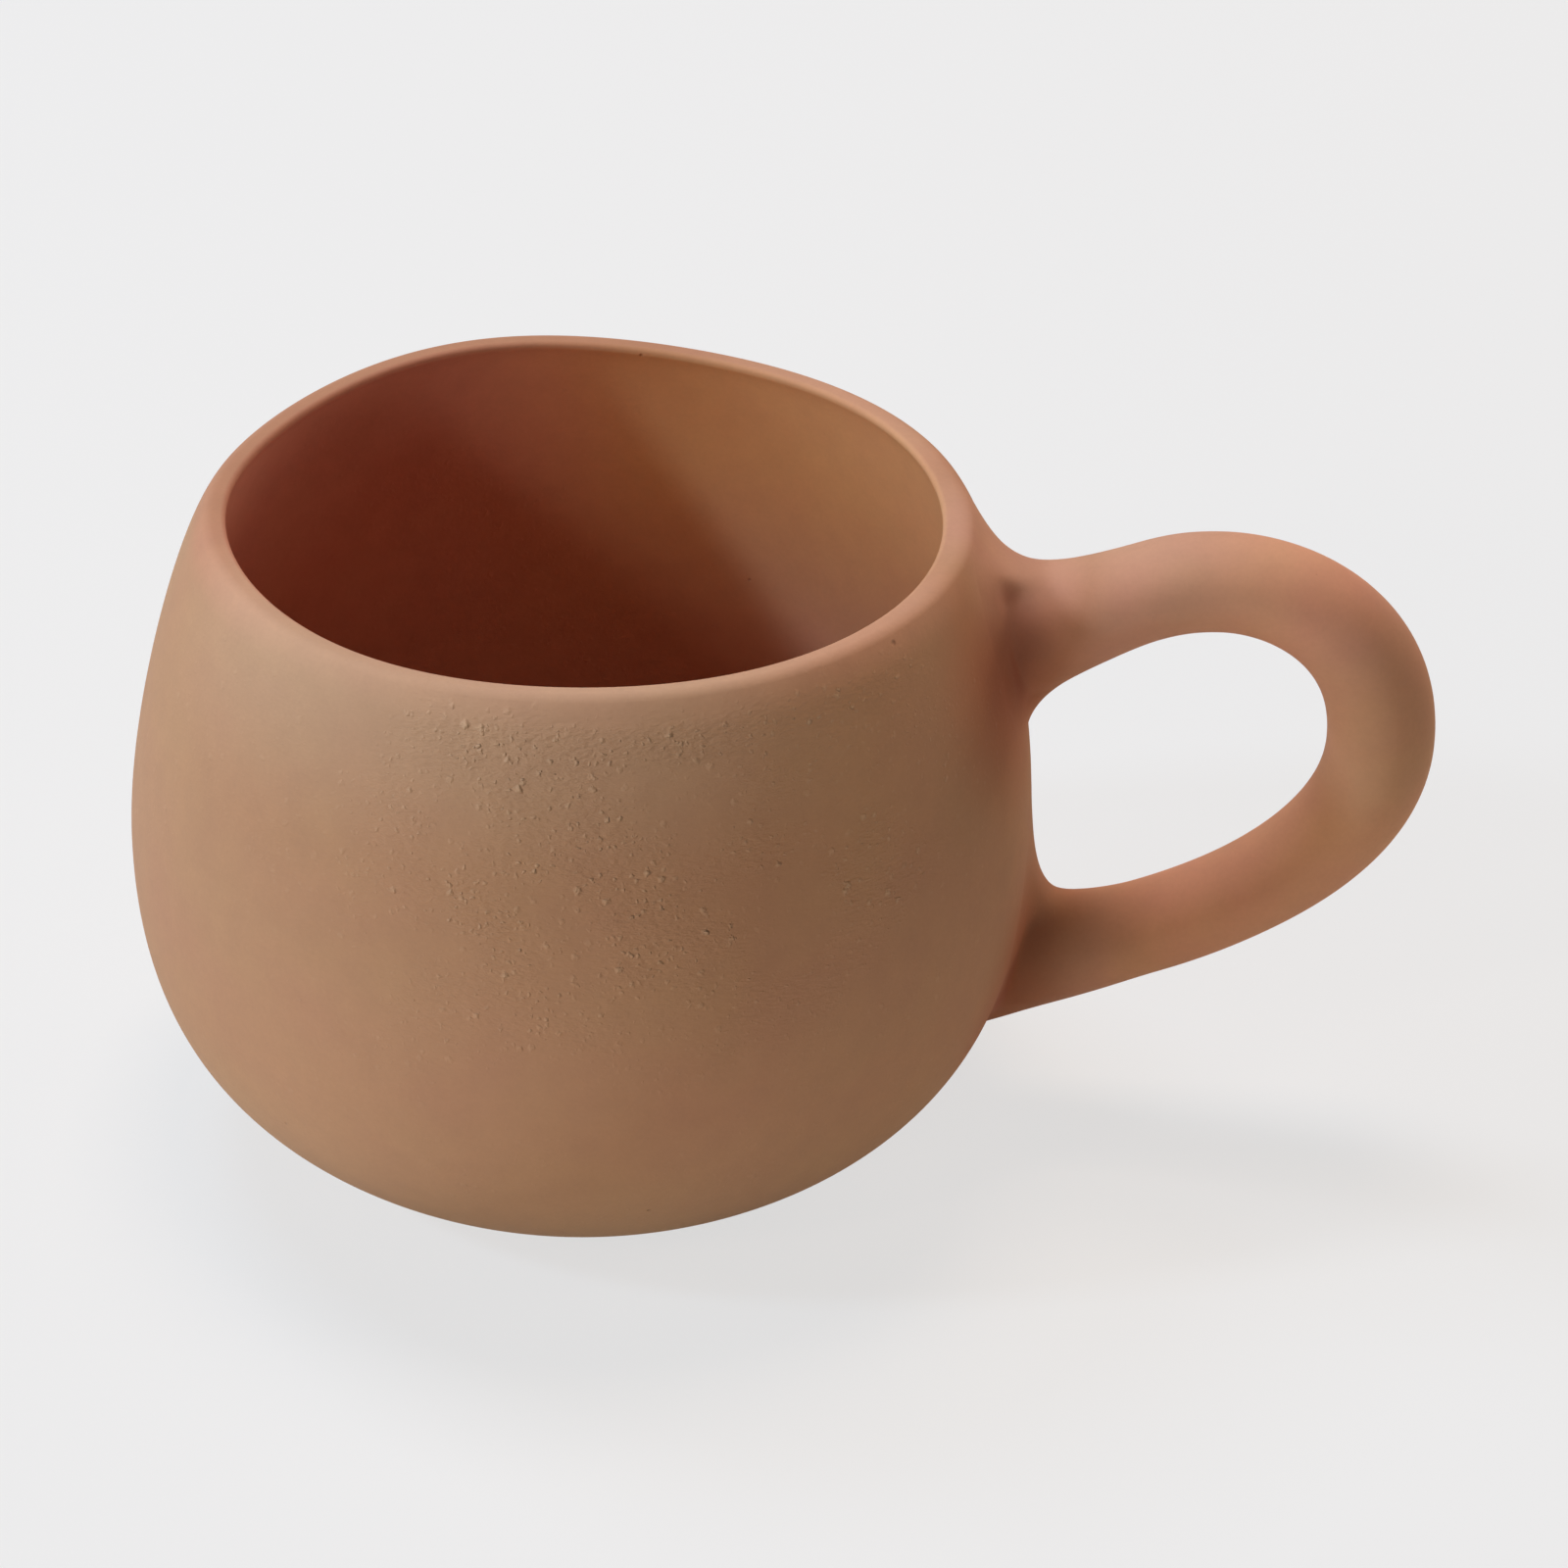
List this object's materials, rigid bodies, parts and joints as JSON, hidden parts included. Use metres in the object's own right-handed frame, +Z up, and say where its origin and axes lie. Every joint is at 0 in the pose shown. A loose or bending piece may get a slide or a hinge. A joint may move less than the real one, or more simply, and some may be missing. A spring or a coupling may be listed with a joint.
{
  "type": "mug",
  "caption": "Round-bellied unglazed clay mug with an in-leaning mouth, a flat foot and an ear-shaped handle smoothed into the wall.",
  "frame": {"origin": "centre of the flat foot, on the axis of the body, on the surface that the mug stands on", "axes": "+Z up along the axis of the body, +X towards the handle, +Y across the handle"},
  "size_m": [0.1381, 0.096, 0.0722],
  "materials": {
    "body_clay": "unglazed fired terracotta clay, matte, fine-grained, scattered small pits and grains",
    "handle_clay": "unglazed fired terracotta clay, matte, fine-grained, rubbed smooth by hand",
    "collar_clay": "unglazed fired terracotta clay, matte, fine-grained, rubbed smooth by hand",
    "slip_clay": "fired slip of the same clay, hidden in the joint"
  },
  "bodies": {
    "root": {"body": "body_clay", "handle": "handle_clay", "upper_slip": "slip_clay", "lower_slip": "slip_clay", "upper_collar": "collar_clay", "lower_collar": "collar_clay"}
  },
  "joints": []
}
